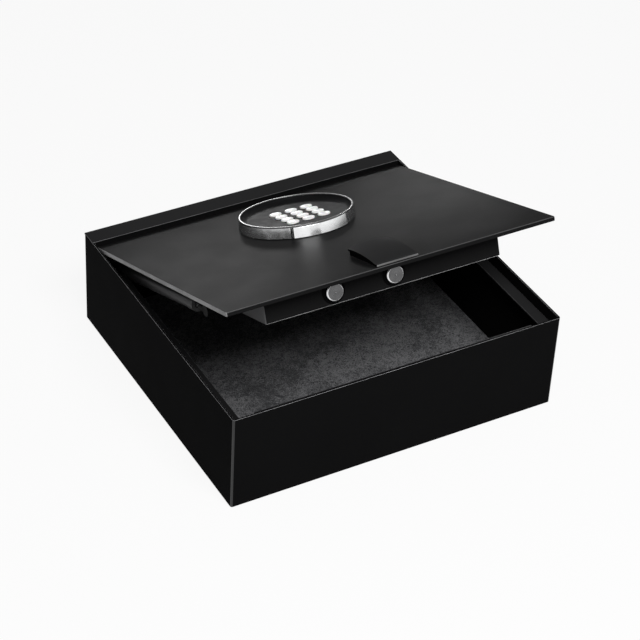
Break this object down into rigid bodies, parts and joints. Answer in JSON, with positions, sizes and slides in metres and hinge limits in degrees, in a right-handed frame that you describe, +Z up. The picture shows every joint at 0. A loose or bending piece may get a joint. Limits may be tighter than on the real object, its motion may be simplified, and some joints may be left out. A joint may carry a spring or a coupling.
{
  "type": "portable car safe",
  "caption": "Flat top-opening steel strongbox with a lifting lid on gas struts, a round chrome-ringed keypad, a finger pull, motor-driven bolts and a felt-lined compartment.",
  "frame": {"origin": "middle of the underside of the case", "axes": "+X to the right seen from the front, +Y to the pivot side, +Z up"},
  "size_m": [0.4, 0.366, 0.2362],
  "materials": {
    "case_paint": "fine-textured satin black powder coat on folded steel",
    "lid_paint": "fine-textured satin black powder coat on steel",
    "keeper_steel": "black coated steel",
    "bumper_rubber": "matt black rubber strip",
    "felt": "charcoal needled felt, laid loose on the floor",
    "black_plastic": "moulded black plastic",
    "dark_steel": "dark plated steel",
    "bright_steel": "bright zinc-plated steel",
    "bolt_steel": "turned steel bar",
    "ring_chrome": "bright chrome",
    "key_white": "white domed caps",
    "circuit_board": "green solder resist",
    "cell_jacket": "printed steel jacket"
  },
  "bodies": {
    "case": {"case_shell": "case_paint", "rear_header": "case_paint", "front_keeper": "keeper_steel", "front_bumper": "bumper_rubber", "felt_floor": "felt", "hole_plug_front_left": "black_plastic", "hole_plug_front_right": "black_plastic", "hole_plug_rear_left": "black_plastic", "hole_plug_rear_right": "black_plastic", "ledge_left": "case_paint", "ledge_right": "case_paint", "side_bracket_left": "dark_steel", "side_bracket_right": "dark_steel", "pivot_pin_left": "bright_steel", "pivot_pin_right": "bright_steel", "strut_stud_left": "dark_steel", "strut_stud_right": "dark_steel"},
    "lid": {"lid_ear_left": "dark_steel", "lid_ear_right": "dark_steel", "strut_bracket_left": "dark_steel", "strut_bracket_right": "dark_steel", "bolt_bush_left": "black_plastic", "bolt_bush_right": "black_plastic", "lid_plate": "lid_paint", "lock_housing": "lid_paint", "finger_pull": "lid_paint", "gear_motor": "bright_steel", "battery_tray": "black_plastic", "battery_1": "cell_jacket", "battery_2": "cell_jacket", "battery_3": "cell_jacket", "battery_4": "cell_jacket", "battery_cover": "lid_paint", "control_board": "circuit_board", "keypad_ring": "ring_chrome", "keypad_base": "black_plastic", "keypad_face": "black_plastic", "emergency_contacts": "bright_steel"},
    "lock_bolts": {"bolt_left": "bolt_steel", "bolt_right": "bolt_steel", "bolt_carriage": "bright_steel"},
    "pinion": {"drive_pinion": "bright_steel"},
    "cover": {"override_cover": "ring_chrome"},
    "strut_tube_left": {"strut_cylinder_left": "dark_steel"},
    "strut_piston_left": {"strut_rod_left": "bright_steel"},
    "strut_tube_right": {"strut_cylinder_right": "dark_steel"},
    "strut_piston_right": {"strut_rod_right": "bright_steel"},
    "button_1": {"key_1": "key_white"},
    "button_2": {"key_2": "key_white"},
    "button_3": {"key_3": "key_white"},
    "button_4": {"key_4": "key_white"},
    "button_5": {"key_5": "key_white"},
    "button_6": {"key_6": "key_white"},
    "button_7": {"key_7": "key_white"},
    "button_8": {"key_8": "key_white"},
    "button_9": {"key_9": "key_white"},
    "button_clear": {"key_clear": "key_white"},
    "button_0": {"key_0": "key_white"},
    "button_enter": {"key_enter": "key_white"}
  },
  "joints": [
    {"name": "lid_hinge", "type": "hinge", "parent": "case", "child": "lid", "pos_m": [0, 0.1445, 0.108], "axis": [-1, 0, 0], "range_deg": [-21.3, 48.7]},
    {"name": "bolt_slide", "type": "slide", "parent": "lid", "child": "lock_bolts", "axis": [0, -0.9317, 0.3633], "range_m": [0, 0.022]},
    {"name": "pinion_spin", "type": "hinge", "parent": "lid", "child": "pinion", "pos_m": [0.05625, -0.05748, 0.17494], "axis": [0, 0.3633, 0.9317], "range_deg": [0, 113]},
    {"name": "cover_slide", "type": "slide", "parent": "lid", "child": "cover", "axis": [0, -0.9317, 0.3633], "range_m": [0, 0.01]},
    {"name": "strut_tube_left_hinge", "type": "hinge", "parent": "case", "child": "strut_tube_left", "pos_m": [-0.175, 0.135, 0.09], "axis": [-1, 0, 0], "range_deg": [-21.3, 48.5]},
    {"name": "strut_rod_left_slide", "type": "slide", "parent": "strut_tube_left", "child": "strut_piston_left", "axis": [0, -0.9215, 0.3883], "range_m": [-0.0072, 0.0163]},
    {"name": "strut_tube_right_hinge", "type": "hinge", "parent": "case", "child": "strut_tube_right", "pos_m": [0.175, 0.135, 0.09], "axis": [-1, 0, 0], "range_deg": [-21.3, 48.5]},
    {"name": "strut_rod_right_slide", "type": "slide", "parent": "strut_tube_right", "child": "strut_piston_right", "axis": [0, -0.9215, 0.3883], "range_m": [-0.0072, 0.0163]},
    {"name": "key_1_press", "type": "slide", "parent": "lid", "child": "button_1", "axis": [0, -0.3633, -0.9317], "range_m": [0, 0.0012], "stiffness_N_per_m": 350, "springref_m": -0.001},
    {"name": "key_2_press", "type": "slide", "parent": "lid", "child": "button_2", "axis": [0, -0.3633, -0.9317], "range_m": [0, 0.0012], "stiffness_N_per_m": 350, "springref_m": -0.001},
    {"name": "key_3_press", "type": "slide", "parent": "lid", "child": "button_3", "axis": [0, -0.3633, -0.9317], "range_m": [0, 0.0012], "stiffness_N_per_m": 350, "springref_m": -0.001},
    {"name": "key_4_press", "type": "slide", "parent": "lid", "child": "button_4", "axis": [0, -0.3633, -0.9317], "range_m": [0, 0.0012], "stiffness_N_per_m": 350, "springref_m": -0.001},
    {"name": "key_5_press", "type": "slide", "parent": "lid", "child": "button_5", "axis": [0, -0.3633, -0.9317], "range_m": [0, 0.0012], "stiffness_N_per_m": 350, "springref_m": -0.001},
    {"name": "key_6_press", "type": "slide", "parent": "lid", "child": "button_6", "axis": [0, -0.3633, -0.9317], "range_m": [0, 0.0012], "stiffness_N_per_m": 350, "springref_m": -0.001},
    {"name": "key_7_press", "type": "slide", "parent": "lid", "child": "button_7", "axis": [0, -0.3633, -0.9317], "range_m": [0, 0.0012], "stiffness_N_per_m": 350, "springref_m": -0.001},
    {"name": "key_8_press", "type": "slide", "parent": "lid", "child": "button_8", "axis": [0, -0.3633, -0.9317], "range_m": [0, 0.0012], "stiffness_N_per_m": 350, "springref_m": -0.001},
    {"name": "key_9_press", "type": "slide", "parent": "lid", "child": "button_9", "axis": [0, -0.3633, -0.9317], "range_m": [0, 0.0012], "stiffness_N_per_m": 350, "springref_m": -0.001},
    {"name": "key_clear_press", "type": "slide", "parent": "lid", "child": "button_clear", "axis": [0, -0.3633, -0.9317], "range_m": [0, 0.0012], "stiffness_N_per_m": 350, "springref_m": -0.001},
    {"name": "key_0_press", "type": "slide", "parent": "lid", "child": "button_0", "axis": [0, -0.3633, -0.9317], "range_m": [0, 0.0012], "stiffness_N_per_m": 350, "springref_m": -0.001},
    {"name": "key_enter_press", "type": "slide", "parent": "lid", "child": "button_enter", "axis": [0, -0.3633, -0.9317], "range_m": [0, 0.0012], "stiffness_N_per_m": 350, "springref_m": -0.001}
  ],
  "couplings": [
    {"joint": "pinion_spin", "follows": "bolt_slide", "rad_per_m": 88.889},
    {"joint": "strut_tube_left_hinge", "follows": "lid_hinge", "ratio": 0.988},
    {"joint": "strut_rod_left_slide", "follows": "lid_hinge", "m_per_rad": 0.019},
    {"joint": "strut_tube_right_hinge", "follows": "lid_hinge", "ratio": 0.988},
    {"joint": "strut_rod_right_slide", "follows": "lid_hinge", "m_per_rad": 0.019}
  ]
}
